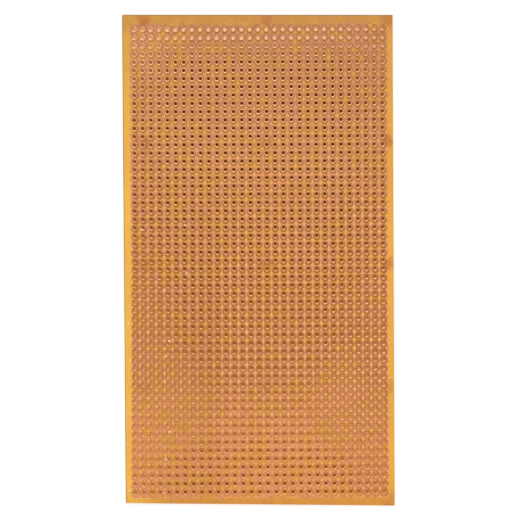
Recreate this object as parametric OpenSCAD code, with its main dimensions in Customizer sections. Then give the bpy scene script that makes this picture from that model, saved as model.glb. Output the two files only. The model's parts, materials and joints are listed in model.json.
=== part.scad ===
// Prototype board: a single-sided phenolic paper panel, punched on a square
// grid, with a separate round copper solder pad around each hole.
// The panel lies flat, copper side up. X runs along the rows of pads and Y up
// the columns. The origin is in the middle of the face that the panel rests on.

/* [Hole grid] */
// Distance from one hole to the next, both ways
pitch = 2.54; // [2.4:0.01:3]
// Holes in each row
columns = 31; // [2:1:40]
// Rows of holes
rows = 57; // [2:1:59]
// Diameter of each punched hole
hole_d = 1; // [0.6:0.05:1.3]

/* [Copper pads] */
// Outside diameter of each pad
pad_d = 2; // [1.5:0.05:2.3]
// Thickness of the copper foil
foil_t = 0.035; // [0.018:0.001:0.105]

/* [Panel] */
// Thickness of the phenolic paper, without the copper
board_t = 1.6; // [0.8:0.1:2.4]
// Outer hole centres to the left edge, at its upper end
left_margin = 3.6; // [2.5:0.1:10]
// Outer hole centres to the right edge
right_margin = 3.3; // [2.5:0.1:10]
// Outer hole centres to the upper edge, at its left end
upper_margin = 4.5; // [2.5:0.1:10]
// Outer hole centres to the lower edge, at its right end
lower_margin = 4.4; // [2.5:0.1:10]

/* [Skew of the shear cuts] */
// How much the left margin narrows towards its lower end
left_taper = 0.5; // [0:0.1:1.2]
// How much the upper margin narrows towards its right end
upper_taper = 0.4; // [0:0.1:1.2]
// How much the lower margin narrows towards its left end
lower_taper = 1.1; // [0:0.1:1.2]

/* [Hidden] */
// Roundness of the holes and the pads
$fn = 32;
// The panel follows the grid and its margins
board_w = left_margin + (columns - 1) * pitch + right_margin;
board_l = lower_margin + (rows - 1) * pitch + upper_margin;
// One node for the panel, and one for each row of pads

// Name of a row's node, with two digits so that the rows sort in order
function pad_row_name(row) = str("pad_row_", row < 10 ? "0" : "", row);

// Middle of a hole: column 1 is at the left, and row 1 at the lower end
function hole_x(column) = (column - 1) * pitch + left_margin - board_w / 2;
function hole_y(row) = (row - 1) * pitch + lower_margin - board_l / 2;

// Discs on the hole centres of one row
module row_discs(row, diameter) {
    for (column = [1:columns])
        translate([hole_x(column), hole_y(row)])
            circle(d = diameter);
}

// Outline of the panel, as the shear leaves it: a little out of square
module panel_outline() {
    polygon([
        [left_taper - board_w / 2, lower_taper - board_l / 2],
        [board_w / 2, -board_l / 2],
        [board_w / 2, board_l / 2 - upper_taper],
        [-board_w / 2, board_l / 2]
    ]);
}

// Phenolic paper panel, with every hole of the grid punched through it
module laminate() {
    color([0.85, 0.60, 0.27])
        linear_extrude(board_t)
            difference() {
                panel_outline();
                for (row = [1:rows])
                    row_discs(row, hole_d);
            }
}

// One row of etched copper rings, bonded to the panel's upper face
module pad_row(row) {
    color([0.80, 0.50, 0.30])
        translate([0, 0, board_t])
            linear_extrude(foil_t)
                difference() {
                    row_discs(row, pad_d);
                    row_discs(row, hole_d);
                }
}

laminate();
for (row = [1:rows])
    pad_row(row);
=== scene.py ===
import json
import math

import bmesh
import bpy
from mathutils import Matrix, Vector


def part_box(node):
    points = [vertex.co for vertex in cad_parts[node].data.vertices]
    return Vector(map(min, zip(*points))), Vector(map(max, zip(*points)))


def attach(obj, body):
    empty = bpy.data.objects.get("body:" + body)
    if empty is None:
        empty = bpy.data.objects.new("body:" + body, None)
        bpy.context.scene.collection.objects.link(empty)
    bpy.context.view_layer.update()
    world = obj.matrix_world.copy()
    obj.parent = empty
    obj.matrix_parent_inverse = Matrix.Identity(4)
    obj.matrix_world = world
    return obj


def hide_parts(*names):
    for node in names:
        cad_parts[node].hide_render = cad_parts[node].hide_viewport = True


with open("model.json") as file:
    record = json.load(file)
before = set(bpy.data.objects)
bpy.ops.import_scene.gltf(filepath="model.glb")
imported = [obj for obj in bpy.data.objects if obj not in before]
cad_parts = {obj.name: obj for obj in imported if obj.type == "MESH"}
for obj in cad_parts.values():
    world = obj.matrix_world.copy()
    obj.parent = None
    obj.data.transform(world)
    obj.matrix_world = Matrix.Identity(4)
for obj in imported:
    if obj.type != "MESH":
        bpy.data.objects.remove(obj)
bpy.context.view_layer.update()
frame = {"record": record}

# ---- Panel ---------------------------------------------------------------------------------
# One sheet of phenolic paper: kraft paper soaked in resin and pressed hot to a smooth, slightly
# glossy ochre board. The holes are punched on a square grid, so their mouths are drawn in on the
# copper side, and the sheet is then sheared to size, a little out of square.

hole_mounts = {mount["name"]: mount["pos_m"] for mount in frame["record"]["mounts"]}
first = tuple(hole_mounts["first_hole"][:2])
first_x, first_y = first
last_x, last_y = hole_mounts["last_hole"][:2]
columns, rows = 31, 57
pitch = (last_x - first_x) / (columns - 1)
(west, south, under), (east, north, face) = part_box("laminate")
sides = 16                    # straight sides to each hole and pad
mouth_r, hole_r = 0.00053, 0.0005
breakout_r, breakout = 0.00056, 0.00005   # where the punch leaves the plain side
strip = 0.006                 # bare sheet around the grid, before it is sheared
left_taper, upper_taper, lower_taper = 0.0005, 0.0004, 0.0011
drawn_edge = 0.00025          # width of the edge that the shear pulls down
drawn_depth = 0.00004
edge_slack = 2e-6             # how far from a cut a vertex may lie and still be on it
cut_slack = 1e-7
merge_slack = 1e-6
off_dark_rim = -4.0              # far below 0, so that the darkening fades close to the rim
panel_smooth = math.radians(30)


def ring(radius, height):
    """Adds a ring of edges around the first hole, and leaves it selected alone."""
    if bpy.context.mode == "EDIT_MESH":
        bpy.ops.mesh.select_all(action="DESELECT")
    bpy.ops.mesh.primitive_circle_add(vertices=sides, radius=radius, location=(*first, height))


def pull(factor, rise):
    """Extrudes the selected ring up or down, and scales the new ring about its centre."""
    bpy.ops.mesh.extrude_region_move(TRANSFORM_OT_translate={"value": (0, 0, rise)})
    bpy.ops.transform.resize(value=(factor, factor, 1), center_override=(*first, 0))


def pick(piece, kind, test):
    """Selects the vertices or edges of a piece in edit mode, if all their corners pass a test."""
    bpy.ops.mesh.select_all(action="DESELECT")
    mesh = bmesh.from_edit_mesh(piece.data)
    bpy.context.tool_settings.mesh_select_mode = [kind == "vert", kind == "edge", False]
    for part in {"vert": mesh.verts, "edge": mesh.edges}[kind]:
        corners = [part] if kind == "vert" else part.verts
        if all(test(corner.co) for corner in corners):
            part.select_set(True)
    mesh.select_flush(True)
    bmesh.update_edit_mesh(piece.data)


def at(value, wanted, slack=merge_slack):
    return abs(value - wanted) < slack


def close_up():
    """Turns all faces outwards, and leaves edit mode."""
    bpy.ops.mesh.select_all(action="SELECT")
    bpy.ops.mesh.normals_make_consistent(inside=False)
    bpy.ops.object.mode_set(mode="OBJECT")


def repeat(piece, count, step, weld=True):
    """Repeats the piece in a straight line, and welds each copy to the next if they touch."""
    line = piece.modifiers.new("repeat", "ARRAY")
    line.count = count
    line.use_relative_offset = False
    line.use_constant_offset = True
    line.constant_offset_displace = step
    line.use_merge_vertices = weld
    line.merge_threshold = merge_slack
    bpy.ops.object.modifier_apply(modifier="repeat")


# One hole with the square of sheet around it, from the copper side down to the plain side
bpy.ops.object.select_all(action="DESELECT")
bpy.ops.mesh.primitive_plane_add(size=pitch, location=(*first, face))
panel = bpy.context.object
panel.name = panel.data.name = "panel"
bpy.ops.object.transform_apply(location=True, rotation=True, scale=True)
bpy.ops.object.mode_set(mode="EDIT")
bpy.ops.mesh.select_all(action="SELECT")
bpy.ops.mesh.delete(type="ONLY_FACE")
bpy.ops.mesh.select_all(action="SELECT")
bpy.ops.mesh.duplicate_move(TRANSFORM_OT_translate={"value": (0, 0, under - face)})
ring(mouth_r, face)
pull(hole_r / mouth_r, under + breakout - face)
pull(breakout_r / hole_r, -breakout)
for level in (face, under):
    pick(panel, "edge", lambda co: at(co.z, level))
    bpy.ops.mesh.fill(use_beauty=True)
close_up()
repeat(panel, columns, (pitch, 0, 0))
repeat(panel, rows, (0, pitch, 0))

# Plain strips on all four sides, then the four cuts of the shear
bpy.ops.object.mode_set(mode="EDIT")
for axis, edge, way in (("x", first_x - pitch / 2, -1), ("x", last_x + pitch / 2, 1),
                        ("y", first_y - pitch / 2, -1), ("y", last_y + pitch / 2, 1)):
    pick(panel, "edge", lambda co: at(getattr(co, axis), edge))
    step = (way * strip, 0, 0) if axis == "x" else (0, way * strip, 0)
    bpy.ops.mesh.extrude_region_move(TRANSFORM_OT_translate={"value": step})
corners = ((west + left_taper, south + lower_taper), (east, south),
           (east, north - upper_taper), (west, north))
cuts = []
for start, end in zip(corners, corners[1:] + corners[:1]):
    length = math.dist(start, end)
    outward = ((end[1] - start[1]) / length, (start[0] - end[0]) / length, 0)
    cuts.append((start, outward))
    bpy.ops.mesh.select_all(action="SELECT")
    bpy.ops.mesh.bisect(plane_co=(*start, face), plane_no=outward, clear_outer=True,
                        threshold=cut_slack)


def on_cut(co, some_cuts):
    """Tells whether a point lies on one of the cuts."""
    return any(at((co.x - x) * outward[0] + (co.y - y) * outward[1], 0, edge_slack)
               for (x, y), outward in some_cuts)


# The cut edges are closed, and the shear draws their upper rim down
pick(panel, "edge", lambda co: on_cut(co, cuts))
mesh = bmesh.from_edit_mesh(panel.data)
for edge in mesh.edges:
    if not edge.is_boundary:
        edge.select_set(False)
bmesh.update_edit_mesh(panel.data)
bpy.ops.mesh.bridge_edge_loops()
for start, outward in cuts:
    bpy.ops.mesh.select_all(action="SELECT")
    inside = (start[0] - outward[0] * drawn_edge, start[1] - outward[1] * drawn_edge, face)
    bpy.ops.mesh.bisect(plane_co=inside, plane_no=outward, threshold=cut_slack)
pick(panel, "vert", lambda co: on_cut(co, cuts) and at(co.z, face))
bpy.ops.transform.translate(value=(0, 0, -drawn_depth))
close_up()
bpy.ops.object.shade_smooth_by_angle(angle=panel_smooth)
# The left and upper edges are darkened grey-brown along their upper rim
left_and_upper_cuts = cuts[2:]
dark_rim = panel.data.attributes.new("dark_rim", "FLOAT", "POINT")
for vertex, value in zip(panel.data.vertices, dark_rim.data):
    if on_cut(vertex.co, left_and_upper_cuts):
        value.value = 1.0 if at(vertex.co.z, face - drawn_depth) else off_dark_rim


def put(finish, kind, sockets=(), result=0, **settings):
    """Adds a node to a finish. Each socket is given a value, or another node's result."""
    made = finish.node_tree.nodes.new("ShaderNode" + kind)
    for name, value in settings.items():
        setattr(made, name, value)
    for socket, value in sockets:
        if isinstance(value, bpy.types.NodeSocket):
            finish.node_tree.links.new(value, made.inputs[socket])
        else:
            made.inputs[socket].default_value = value
    if made.outputs:
        return made.outputs[result]


def ramp(finish, along, stops, smooth=True):
    """Turns a value from 0 to 1 into the colours or shades of the stops."""
    made = finish.node_tree.nodes.new("ShaderNodeValToRGB")
    band = made.color_ramp
    band.interpolation = "EASE" if smooth else "LINEAR"
    while len(band.elements) < len(stops):
        band.elements.new(1)
    for element, (stop, colour) in zip(band.elements, stops):
        element.position = stop
        element.color = (colour, colour, colour, 1) if isinstance(colour, float) else (*colour, 1)
    finish.node_tree.links.new(along, made.inputs[0])
    return made.outputs[0]


def scaled(finish, value, low, high, to_low=0.0, to_high=1.0):
    return put(finish, "MapRange", [(0, value), (1, low), (2, high), (3, to_low), (4, to_high)])


def mix(finish, share, first_colour, second_colour, blend="MIX"):
    return put(finish, "Mix", [(0, share), (6, first_colour), (7, second_colour)], 2,
               data_type="RGBA", blend_type=blend)


def maths(finish, operation, first_value, second_value=0.0):
    return put(finish, "Math", [(0, first_value), (1, second_value)], operation=operation)


def times(finish, first_value, second_value):
    return maths(finish, "MULTIPLY", first_value, second_value)


def split(finish, vector, axis):
    return put(finish, "SeparateXYZ", [(0, vector)], axis)


def noise(finish, place, scale, detail=2.0, result=0):
    return put(finish, "TexNoise", [("Vector", place), ("Scale", scale), ("Detail", detail)], result)


def new_finish(name):
    finish = bpy.data.materials.new(name)
    finish.use_nodes = True
    finish.node_tree.nodes.clear()
    return finish


def dress(finish, sockets):
    """Ends a finish with its shader."""
    shader = put(finish, "BsdfPrincipled", sockets)
    put(finish, "OutputMaterial", [(0, shader)])


def on_board(finish):
    """Gives the place, and how far it lies across and up the board, each from 0 to 1."""
    place = put(finish, "TexCoord", [], "Object")
    width_share = scaled(finish, split(finish, place, 0), west, east)
    length_share = scaled(finish, split(finish, place, 1), south, north)
    return place, width_share, length_share


def drifted(finish, place, width_share, length_share):
    """Shifts the marks around the holes a little against the punched holes, by these millimetres, so
    that the painted shadows and highlights around the pads lie to one side.
    """
    aside = ramp(finish, width_share, [(0.0, 0.30), (0.25, 0.06), (0.50, -0.03), (0.75, 0.0),
                                       (1.0, 0.16)])
    aside = times(finish, aside, ramp(finish, length_share, [(0.05, 0.5), (0.50, 1.0)]))
    down = ramp(finish, length_share, [(0.05, 0.30), (0.16, 0.38), (0.26, 0.44), (0.36, 0.42),
                                       (0.48, 0.33), (0.60, 0.31), (0.72, 0.21), (0.84, 0.10),
                                       (0.93, 0.02)])
    millimetre = 0.001
    drift = put(finish, "CombineXYZ", [(0, times(finish, aside, -millimetre)),
                                       (1, times(finish, down, millimetre))])
    return put(finish, "VectorMath", [(0, place), (1, drift)], operation="ADD")


def from_hole(finish, place):
    """Gives the distance from the nearest hole's middle, how much of it lies up the board and
    how much to the right, and that hole's column and row."""
    counted = put(finish, "VectorMath",
                  [(0, place), (1, (1 / pitch, 1 / pitch, 0)),
                   (2, (0.5 - first_x / pitch, 0.5 - first_y / pitch, 0))],
                  operation="MULTIPLY_ADD")
    whole = put(finish, "VectorMath", [(0, counted)], operation="FLOOR")
    held = put(finish, "VectorMath", [(0, whole), (1, (columns - 1, rows - 1, 0))],
               operation="MINIMUM")
    number = put(finish, "VectorMath", [(0, held), (1, (0, 0, 0))], operation="MAXIMUM")
    middle = put(finish, "VectorMath", [(0, number), (1, (pitch, pitch, 0)), (2, (*first, 0))],
                 operation="MULTIPLY_ADD")
    flat = put(finish, "VectorMath", [(0, place), (1, (1, 1, 0))], operation="MULTIPLY")
    offset = put(finish, "VectorMath", [(0, flat), (1, middle)], operation="SUBTRACT")
    distance = put(finish, "VectorMath", [(0, offset)], "Value", operation="LENGTH")
    upward = maths(finish, "DIVIDE", split(finish, offset, 1), distance)
    rightward = maths(finish, "DIVIDE", split(finish, offset, 0), distance)
    return distance, upward, rightward, number


def widened(finish, distance, length_share):
    """The painted dark lines around the pads spread wider towards the lower end."""
    return times(finish, distance, ramp(finish, length_share, [
        (0.12, 0.90), (0.30, 0.95), (0.50, 1.0)]))


def facing(finish, direction, stops):
    """A strength around each hole, from 0 on the side away from a direction to 1 towards it."""
    return ramp(finish, scaled(finish, direction, -1.0, 1.0), stops)


def two_sided(finish, upward, length_share, lower, upper):
    """A strength along the board, with one run on the lower side of each pad and one above."""
    side = facing(finish, upward, [(0.15, 0.0), (0.75, 1.0)])
    return mix(finish, side, ramp(finish, length_share, lower), ramp(finish, length_share, upper))


def streaked(finish, width_share, length_share):
    """One broad streak of the board is darker, up to two thirds of its length."""
    band = ramp(finish, width_share, [
        (0.04, 0.15), (0.22, 0.7), (0.32, 1.0), (0.40, 0.15), (0.55, 0.0)])
    return times(finish, band, ramp(finish, length_share, [
        (0.05, 0.8), (0.40, 1.0), (0.62, 0.3), (0.75, 0.0)]))


def flecked(finish, place, width_share, length_share, tone):
    """A few pale flecks of dried flux at the lower left, over panel and copper alike."""
    dried_flux = (0.95, 0.64, 0.38, 1)
    flecks_per_metre, left_out = 150.0, 0.58
    spots = finish.node_tree.nodes.new("ShaderNodeTexVoronoi")
    spots.voronoi_dimensions = "2D"
    spots.inputs["Scale"].default_value = flecks_per_metre
    finish.node_tree.links.new(place, spots.inputs["Vector"])
    corner = times(finish, maths(finish, "LESS_THAN", length_share, 0.6),
                   maths(finish, "LESS_THAN", width_share, 0.24))
    chosen = maths(finish, "GREATER_THAN", split(finish, spots.outputs["Color"], 0), left_out)
    fleck = ramp(finish, spots.outputs["Distance"], [(0.03, 0.65), (0.085, 0.0)])
    return mix(finish, times(finish, fleck, times(finish, chosen, corner)), tone, dried_flux)


phenolic = new_finish("phenolic paper")
place, width_share, length_share = on_board(phenolic)
distance, upward = from_hole(phenolic, drifted(phenolic, place, width_share, length_share))[:2]
upness = split(phenolic, put(phenolic, "NewGeometry", [], "Normal"), 2)
plain_side = maths(phenolic, "LESS_THAN", upness, -0.5)

# The etched field is painted darker towards its upper end, a painted shade, and it is mottled pink
# and yellow
pink_resin, yellow_resin = (0.84, 0.31, 0.20, 1), (0.82, 0.40, 0.05, 1)
field = ramp(phenolic, length_share, [(0.03, (0.87, 0.34, 0.145)), (0.20, (0.93, 0.39, 0.175)),
                                      (0.37, (0.91, 0.38, 0.172)), (0.53, (0.84, 0.36, 0.158)),
                                      (0.70, (0.78, 0.34, 0.142)), (0.87, (0.66, 0.28, 0.113)),
                                      (0.97, (0.54, 0.23, 0.105))])
mottle_scale = 340.0
mottle = noise(phenolic, place, mottle_scale)
field = mix(phenolic, ramp(phenolic, mottle, [(0.36, 0.3), (0.50, 0.0)]), field, pink_resin)
field = mix(phenolic, ramp(phenolic, mottle, [(0.48, 0.0), (0.64, 0.5)]), field, yellow_resin)

# The bare margins are yellower than the field. They are painted darker at both ends, most at the
# upper end, a painted shade, and painted palest on the left towards the lower end, a painted light
lit_margin_colour = (1.0, 0.58, 0.075, 1)
field_r, margin_r = 0.0014, 0.0020    # around the outermost holes the one turns into the other
margin = ramp(phenolic, length_share, [(0.01, (0.70, 0.29, 0.045)), (0.05, (0.90, 0.43, 0.052)),
                                       (0.45, (0.90, 0.43, 0.052)), (0.70, (0.84, 0.40, 0.050)),
                                       (0.95, (0.74, 0.36, 0.050)), (0.98, (0.60, 0.27, 0.050))])
paler = times(phenolic, ramp(phenolic, length_share, [(0.60, 0.7), (0.97, 0.1)]),
              ramp(phenolic, width_share, [(0.0, 1.0), (0.2, 0.0)]))
margin = mix(phenolic, paler, margin, lit_margin_colour)
beyond = maths(phenolic, "MAXIMUM", scaled(phenolic, distance, field_r, margin_r), plain_side)
tone = mix(phenolic, beyond, field, margin)

# The etched ground between the pads is speckled, and one streak of it is brown
brown_resin = (0.52, 0.20, 0.035, 1)
speckled_r, smooth_r = 0.0018, 0.0022
specks = noise(phenolic, place, 1200.0)
speckled = maths(phenolic, "SUBTRACT",
                 scaled(phenolic, distance, speckled_r, smooth_r, 1.0, 0.0), plain_side)
tone = put(phenolic, "Mix", [(0, speckled), (6, tone),
                             (7, scaled(phenolic, specks, 0.3, 0.7, 0.74, 1.26))], 2,
           data_type="RGBA", blend_type="MULTIPLY", clamp_result=True)
streak = streaked(phenolic, width_share, length_share)
tone = mix(phenolic, times(phenolic, streak, 0.30), tone, brown_resin)

# Clouds in the resin, an ochre mottle, and the paper's fibres, which lie in three directions
resin_cloud, ochre_resin = (0.62, 0.22, 0.05, 1), (0.80, 0.40, 0.03, 1)
paper_fibre = (0.90, 0.50, 0.12, 1)
clouds = noise(phenolic, place, 55.0, 3.0)
tone = mix(phenolic, scaled(phenolic, clouds, 0.35, 0.7, 0.0, 0.22), tone, resin_cloud)
tone = mix(phenolic, ramp(phenolic, mottle, [(0.44, 0.0), (0.68, 0.25)]), tone, ochre_resin)
for turn, seed in ((0.35, 0.0), (1.35, 0.31), (2.4, 0.62)):
    laid = put(phenolic, "Mapping", [(0, place), ("Location", (seed, seed, 0)),
                                     ("Rotation", (0, 0, turn)), ("Scale", (900, 9000, 900))])
    fibres = noise(phenolic, laid, 1.0, 3.0)
    tone = mix(phenolic, ramp(phenolic, fibres, [(0.58, 0.0), (0.72, 0.22)]), tone, paper_fibre)

# Red dye in the paper shows through in faint ragged blots, at even steps
red_dye = (0.52, 0.14, 0.035, 1)
blot_steps = (0.0374, 0.0376)
blot_start = (0.0025, -0.0014)
ragged_by = 0.10
counted = put(phenolic, "VectorMath",
              [(0, place), (1, (1 / blot_steps[0], 1 / blot_steps[1], 0)),
               (2, (0.5 - blot_start[0] / blot_steps[0], 0.5 - blot_start[1] / blot_steps[1], 0))],
              operation="MULTIPLY_ADD")
inside = put(phenolic, "VectorMath", [(0, counted)], operation="FRACTION")
cell = put(phenolic, "VectorMath", [(0, counted)], operation="FLOOR")
ragged = put(phenolic, "VectorMath", [(0, noise(phenolic, place, 700.0, 3.0, "Color")),
                                      (1, (ragged_by, ragged_by, 0)),
                                      (2, (-ragged_by / 2, -ragged_by / 2, 0))],
             operation="MULTIPLY_ADD")
inside = put(phenolic, "VectorMath", [(0, inside), (1, ragged)], operation="ADD")
from_middle = put(phenolic, "VectorMath", [(0, inside), (1, (0.5, 0.5, 0))], "Value",
                  operation="DISTANCE")
strength = put(phenolic, "TexWhiteNoise", [("Vector", cell)], "Value", noise_dimensions="3D")
blot = times(phenolic, ramp(phenolic, from_middle, [(0.02, 1.0), (0.075, 0.0)]),
             scaled(phenolic, strength, 0.0, 1.0, 0.40, 0.80))
tone = mix(phenolic, blot, tone, red_dye)

# A painted shadow around each pad, widest towards the next row. There is more of it at the lower
# right and less in the upper left corner, and hardly any on the plain side.
painted_pad_shadow = (0.39, 0.125, 0.004, 1)
line_inner_r, line_outer_r, wider_ends = 0.0006, 0.0014, 0.00015
at_ends = ramp(phenolic, maths(phenolic, "ABSOLUTE", upward), [(0.6, 0.0), (1.0, 1.0)])
reach = maths(phenolic, "SUBTRACT", widened(phenolic, distance, length_share),
              times(phenolic, at_ends, wider_ends))
near_pad = ramp(phenolic, scaled(phenolic, reach, line_inner_r, line_outer_r), [
    (0.0, 0.70), (0.25, 1.0), (0.50, 1.0), (0.66, 0.60), (0.80, 0.12), (0.92, 0.0)])
pad_shadow_strength = two_sided(
    phenolic, upward, length_share,
    [(0.09, 0.28), (0.28, 0.68), (0.48, 0.98), (0.62, 0.92), (0.73, 0.82), (0.84, 0.88)],
    [(0.09, 0.60), (0.28, 0.74), (0.50, 0.44), (0.62, 0.50), (0.84, 0.74)])
more = times(phenolic, ramp(phenolic, width_share, [(0.65, 0.0), (0.92, 1.0)]),
             ramp(phenolic, length_share, [(0.12, 0.22), (0.30, 0.12), (0.50, 0.0)]))
less = times(phenolic, ramp(phenolic, width_share, [(0.06, 0.45), (0.25, 0.0)]),
             ramp(phenolic, length_share, [(0.85, 0.0), (0.94, 1.0)]))
pad_shadow_strength = maths(phenolic, "SUBTRACT", maths(phenolic, "ADD", pad_shadow_strength, more), less)
outline = times(phenolic, near_pad, maths(phenolic, "MAXIMUM", pad_shadow_strength, 0.0))
outline = times(phenolic, outline, scaled(phenolic, plain_side, 0.0, 1.0, 1.0, 0.12))
tone = mix(phenolic, outline, tone, painted_pad_shadow)
# Flecks end at a share of the length below 1, so adding 1 on the plain side leaves none there
tone = flecked(phenolic, place, width_share, maths(phenolic, "ADD", length_share, plain_side),
               tone)

# Punched and sheared surfaces are rougher and darker, and show the layers of paper
cut_face = ramp(phenolic, maths(phenolic, "ABSOLUTE", upness), [(0.90, 1.0), (0.999, 0.0)],
                False)
stacked = put(phenolic, "Mapping", [(0, place), ("Scale", (500, 500, 12000))])
layers = noise(phenolic, stacked, 1.0, 3.0)
torn = ramp(phenolic, layers, [(0.34, (0.30, 0.105, 0.022)), (0.50, (0.50, 0.20, 0.05)),
                               (0.66, (0.74, 0.38, 0.13))])
tone = mix(phenolic, times(phenolic, cut_face, 0.75), tone, torn)

# That upper rim is darkened grey-brown, in patches
dark_rim_colour = (0.20, 0.14, 0.06, 1)
dark_rim_share = put(phenolic, "Attribute", [], "Fac", attribute_name="dark_rim")
dark_rim_patches = times(phenolic, ramp(phenolic, dark_rim_share, [(0.0, 0.0), (0.3, 0.95)]),
                ramp(phenolic, clouds, [(0.35, 0.75), (0.60, 1.0)]))
tone = mix(phenolic, dark_rim_patches, tone, dark_rim_colour)

grain = noise(phenolic, place, 2600.0, 4.0)
height = put(phenolic, "Mix", [(0, cut_face), (2, grain), (3, layers)])
relief = put(phenolic, "Bump", [("Strength", 0.25), ("Distance", 0.00003), ("Height", height)])
rough = maths(phenolic, "ADD", scaled(phenolic, grain, 0.3, 0.7, 0.30, 0.44),
              times(phenolic, cut_face, 0.3))
dress(phenolic, [("Base Color", tone), ("Roughness", rough), ("IOR", 1.5),
                 ("Specular IOR Level", 0.2), ("Normal", relief)])
panel.data.materials.append(phenolic)
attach(panel, "root")
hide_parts("laminate")

# ---- Copper pads ---------------------------------------------------------------------------
# Rings etched from one sheet of 35 micron copper foil, glued to the panel under heat. The punch
# rolls each ring's inner edge down into the hole. A thin rosin lacquer keeps the copper bright.

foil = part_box("pad_row_01")[1][2] - face
pad_r, crown_r, waist_r, lip_r = 0.001, 0.00095, 0.00070, 0.0005
waist = foil * 0.7
lip = foil - 0.000047         # the rolled lip ends a little below the panel's face
lip_wear = 0.000012
pad_smooth = math.radians(60)

copper = new_finish("lacquered copper")
place, width_share, length_share = on_board(copper)
distance, upward, rightward, number = from_hole(
    copper, drifted(copper, place, width_share, length_share))
each = put(copper, "TexWhiteNoise", [("Vector", number)], "Value", noise_dimensions="3D")
# Along the board the copper is painted brightest at the lower end and darker further up, a painted
# reflection of the light
metal = ramp(copper, length_share, [(0.03, (0.811, 0.299, 0.094)), (0.18, (0.684, 0.244, 0.060)),
                                    (0.32, (0.462, 0.154, 0.030)), (0.60, (0.453, 0.162, 0.035)),
                                    (0.80, (0.530, 0.230, 0.085)), (0.92, (0.490, 0.215, 0.085)),
                                    (0.975, (0.420, 0.190, 0.082))])

# The copper is darker towards the upper right corner, and brighter at the upper left
darker_copper, bright_copper = (0.28, 0.125, 0.052, 1), (0.60, 0.29, 0.135, 1)
darker_upper_right = times(copper, ramp(copper, width_share, [(0.08, 0.0), (0.35, 0.60), (1.0, 0.90)]),
               ramp(copper, length_share, [(0.65, 0.0), (0.80, 0.38), (0.88, 0.50),
                                           (0.93, 0.62), (0.97, 1.0)]))
metal = mix(copper, darker_upper_right, metal, darker_copper)
bright = times(copper, ramp(copper, width_share, [(0.06, 0.7), (0.25, 0.0)]),
               ramp(copper, length_share, [(0.85, 0.0), (0.95, 1.0)]))
metal = mix(copper, bright, metal, bright_copper)

# No two pads are quite the same, and the streak and a fine tarnish run over them
brown_copper, red_copper = (0.30, 0.10, 0.020, 1), (0.42, 0.16, 0.06, 1)
metal = mix(copper, 1.0, metal, ramp(copper, each, [(0.0, (0.88, 0.86, 0.80)),
                                                    (1.0, (1.0, 1.0, 1.0))]), "MULTIPLY")
streak = streaked(copper, width_share, length_share)
metal = mix(copper, times(copper, streak, 0.28), metal, brown_copper)
tarnish = noise(copper, place, 900.0, 4.0)
metal = mix(copper, ramp(copper, tarnish, [(0.42, 0.0), (0.70, 0.5)]), metal, red_copper)

# The lip is painted lighter, a painted highlight, most on its lower side, and more again on the
# lower side of the pads at the right, below the middle of the board
lip_highlight_colour, right_highlight_colour = (0.56, 0.27, 0.15, 1), (0.76, 0.37, 0.21, 1)
painted_lip_highlight = two_sided(copper, upward, length_share, [(0.10, 0.20), (0.30, 0.35), (1.0, 0.35)],
                   [(0.30, 0.0), (0.50, 0.15)])
metal = mix(copper, painted_lip_highlight, metal, lip_highlight_colour)
painted_right_highlight = times(copper, facing(copper, upward, [(0.05, 0.55), (0.40, 0.0)]),
               times(copper, ramp(copper, width_share, [(0.62, 0.0), (0.88, 1.0)]),
                     ramp(copper, length_share, [(0.12, 0.0), (0.24, 1.0), (0.40, 1.0),
                                                 (0.62, 0.0)])))
metal = mix(copper, painted_right_highlight, metal, right_highlight_colour)

# The copper is painted darker at the rim, a painted shade. It is also painted darker on the right
# side of the rings, most on the left of the board, and on their upper side towards the right edge, a
# painted shade.
painted_copper_shade = (0.25, 0.07, 0.010, 1)
rim = ramp(copper, scaled(copper, widened(copper, distance, length_share), lip_r, pad_r),
           [(0.56, 0.0), (0.84, 1.0)])
rim_shade_strength = two_sided(copper, upward, length_share,
                 [(0.09, 0.15), (0.28, 0.80), (0.50, 0.85), (0.84, 0.35)],
                 [(0.09, 0.48), (0.28, 0.45), (0.50, 0.15), (0.84, 0.30)])
metal = mix(copper, times(copper, rim, rim_shade_strength), metal, painted_copper_shade)
towards = [(0.60, 0.0), (0.95, 1.0)]
painted_shade_right = times(copper, times(copper, facing(copper, rightward, towards),
                             scaled(copper, width_share, 0.0, 0.22, 1.6, 1.0)),
               ramp(copper, length_share, [(0.14, 0.0), (0.30, 0.22), (0.50, 0.52), (0.62, 0.42),
                                           (0.80, 0.22), (0.90, 0.12), (0.96, 0.0)]))
painted_shade_upper = times(copper, facing(copper, upward, towards),
              ramp(copper, width_share, [(0.55, 0.0), (0.95, 0.38)]))
metal = mix(copper, maths(copper, "MAXIMUM", painted_shade_right, painted_shade_upper), metal, painted_copper_shade)

# Flecks of flux lie on the metal, which has the same pink and yellow mottle as the panel
pink_copper, yellow_copper = (0.66, 0.21, 0.11, 1), (0.48, 0.20, 0.010, 1)
metal = flecked(copper, place, width_share, length_share, metal)
mottle = noise(copper, place, mottle_scale)
metal = mix(copper, ramp(copper, mottle, [(0.36, 0.2), (0.50, 0.0)]), metal, pink_copper)
metal = mix(copper, ramp(copper, mottle, [(0.50, 0.0), (0.62, 0.4)]), metal, yellow_copper)
rough = scaled(copper, tarnish, 0.3, 0.7, 0.18, 0.30)
along_brush = put(copper, "Mapping", [(0, place), ("Rotation", (0, 0, 0.2)),
                                      ("Scale", (1500, 30000, 1500))])
brushed = noise(copper, along_brush, 1.0)
relief = put(copper, "Bump", [("Strength", 0.15), ("Distance", 0.00001), ("Height", brushed)])
dress(copper, [("Base Color", metal), ("Metallic", 1.0), ("Roughness", rough),
               ("Coat Weight", 0.5), ("Coat Roughness", 0.12), ("Normal", relief)])

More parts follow.
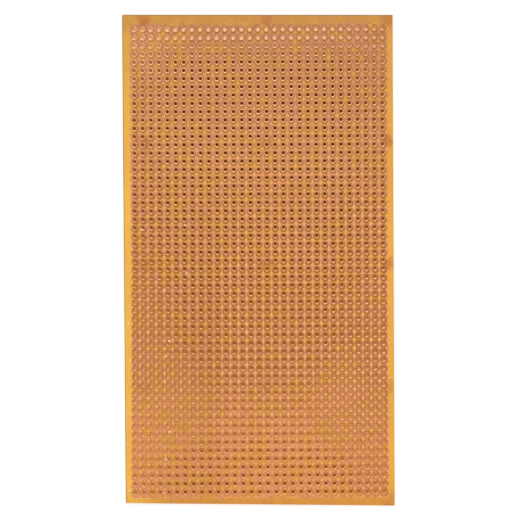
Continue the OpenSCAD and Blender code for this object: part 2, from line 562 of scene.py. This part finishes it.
# One pad, pulled ring by ring from its outer edge to the rolled lip, and closed underneath
bpy.ops.object.select_all(action="DESELECT")
ring(pad_r, face)
pad = bpy.context.object
bpy.ops.object.transform_apply(location=True, rotation=True, scale=True)
bpy.ops.object.mode_set(mode="EDIT")
bpy.ops.mesh.select_all(action="SELECT")
profile = ((pad_r, 0), (crown_r, foil), (waist_r, waist), (lip_r, lip))
for (radius, level), (next_radius, next_level) in zip(profile, profile[1:]):
    pull(next_radius / radius, next_level - level)
pick(pad, "edge", lambda co: at(co.z, face) or at(co.z, face + lip))
bpy.ops.mesh.bridge_edge_loops()
close_up()
repeat(pad, columns, (pitch, 0, 0), weld=False)
pad.data.materials.append(copper)

# Each row but the last is a copy of this first one, which is itself moved up to the last
for row in range(rows):
    line = pad if row == rows - 1 else pad.copy()
    if row < rows - 1:
        line.data = pad.data.copy()
        bpy.context.collection.objects.link(line)
    line.name = line.data.name = f"copper_row_{row + 1:02d}"
    bpy.ops.object.select_all(action="DESELECT")
    line.select_set(True)
    bpy.context.view_layer.objects.active = line
    bpy.ops.object.mode_set(mode="EDIT")
    # The punch leaves each lip a little uneven
    pick(line, "vert", lambda co: at(co.z, face + lip))
    bpy.ops.transform.vertex_random(offset=lip_wear, uniform=0, normal=0, seed=row)
    bpy.ops.mesh.select_all(action="SELECT")
    bpy.ops.transform.translate(value=(0, row * pitch, 0))
    bpy.ops.object.mode_set(mode="OBJECT")
    bpy.ops.object.shade_smooth_by_angle(angle=pad_smooth)
    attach(line, "root")
    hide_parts(f"pad_row_{row + 1:02d}")

# ---- Table, light and camera ---------------------------------------------------------------
# A white table with painted light and shade where the board hides it, one large soft light beyond
# the board's upper end, and a camera straight above the middle of the board.

table_size = 4
table_gap = 0.00005           # between the table and the board
hidden_x, hidden_y = 0.0397, 0.0728   # what the board hides, from its middle


def seen_directly(finish):
    """1 for what the camera sees, also in and through the object, and 0 for what lights it."""
    rays = finish.node_tree.nodes.new("ShaderNodeLightPath")
    return maths(finish, "MAXIMUM", rays.outputs["Is Camera Ray"],
                 maths(finish, "MAXIMUM", rays.outputs["Is Glossy Ray"],
                       rays.outputs["Is Transmission Ray"]))


bpy.ops.object.select_all(action="DESELECT")
bpy.ops.mesh.primitive_plane_add(size=table_size, location=(0, 0, under - table_gap))
table = bpy.context.object
table.name = "table"
bpy.ops.object.transform_apply(location=True, rotation=True, scale=True)
white = new_finish("white table")
place, width_share, length_share = on_board(white)
across = maths(white, "ABSOLUTE", split(white, place, 0))
along = maths(white, "ABSOLUTE", split(white, place, 1))
beside = maths(white, "MAXIMUM", maths(white, "GREATER_THAN", across, hidden_x),
               maths(white, "GREATER_THAN", along, hidden_y))
beside = maths(white, "MAXIMUM", beside, put(white, "NewGeometry", [], "Backfacing"))
# Painted light and shade under the board, seen through the holes, differs along the middle and along
# the sides
middle_light = ramp(white, length_share, [
    (0.03, (0.26, 0.055, 0.010)), (0.09, (0.32, 0.085, 0.020)), (0.18, (0.46, 0.150, 0.050)),
    (0.27, (0.36, 0.110, 0.030)), (0.36, (0.31, 0.085, 0.018)), (0.45, (0.23, 0.055, 0.008)),
    (0.60, (0.16, 0.035, 0.004)), (0.78, (0.11, 0.017, 0.002)), (0.90, (0.14, 0.026, 0.003)),
    (0.930, (0.42, 0.165, 0.050)), (0.960, (0.98, 0.560, 0.310))])
side_light = ramp(white, length_share, [
    (0.03, (0.51, 0.180, 0.050)), (0.10, (0.68, 0.270, 0.095)), (0.27, (0.70, 0.270, 0.095)),
    (0.40, (0.66, 0.265, 0.090)), (0.50, (0.42, 0.135, 0.032)), (0.60, (0.26, 0.065, 0.012)),
    (0.80, (0.22, 0.055, 0.009)), (0.90, (0.46, 0.160, 0.045)), (0.95, (0.78, 0.370, 0.170))])
deep_shade = (0.20, 0.04, 0.005, 1)
inwards = ramp(white, length_share, [(0.08, 0.0), (0.14, 0.012), (0.24, 0.012), (0.36, 0.0)])
sideways = ramp(white, maths(white, "ADD", across, inwards), [(0.022, 0.0), (0.039, 1.0)])
through = mix(white, sideways, middle_light, side_light)
shaded = times(white, ramp(white, width_share, [(0.80, 0.0), (0.92, 0.40)]),
               ramp(white, length_share, [(0.22, 0.0), (0.28, 1.0), (0.56, 1.0), (0.64, 0.0)]))
through = mix(white, shaded, through, deep_shade)
open_glow, open_top = (0.35, 0.35, 0.35, 1), (0.86, 0.86, 0.86, 1)
# Under the board the table is painted near-black, a painted shade
painted_shade_under_board = (0.10, 0.03, 0.01, 1)
dress(white, [("Base Color", mix(white, beside, painted_shade_under_board, open_top)), ("Roughness", 0.8),
              ("Specular IOR Level", 0.0),
              ("Emission Color", mix(white, beside, through, open_glow)),
              ("Emission Strength", seen_directly(white))])
table.data.materials.append(white)

# The room is white to look at, and a little dimmer as a light
room_light = 0.86
world = bpy.data.worlds.new("room")
bpy.context.scene.world = world
world.use_nodes = True
sky = world.node_tree.nodes["Background"]
sky.inputs["Color"].default_value = (1, 1, 1, 1)
world.node_tree.links.new(scaled(world, seen_directly(world), 0.0, 1.0, room_light, 1.0),
                          sky.inputs["Strength"])

softbox = bpy.data.lights.new("softbox", "AREA")
softbox.shape = "ELLIPSE"
softbox.size, softbox.size_y = 0.17, 0.655
softbox.energy = 0.89
lamp = bpy.data.objects.new("softbox", softbox)
away, lean = 0.9, math.radians(17)
lamp.location = (0, away * math.sin(lean), away * math.cos(lean))
lamp.rotation_euler = (-lean, 0, 0)
bpy.context.collection.objects.link(lamp)

camera_height = 0.7516
lens = bpy.data.cameras.new("camera")
lens.lens = 169.0
lens.sensor_width = 36
lens.clip_start = 0.01
camera = bpy.data.objects.new("camera", lens)
camera.location = (0.000485, 0.00005, camera_height)
camera.rotation_euler = (0, 0, math.radians(-0.25))
bpy.context.collection.objects.link(camera)
bpy.context.scene.camera = camera
bpy.context.scene.view_settings.view_transform = "Standard"
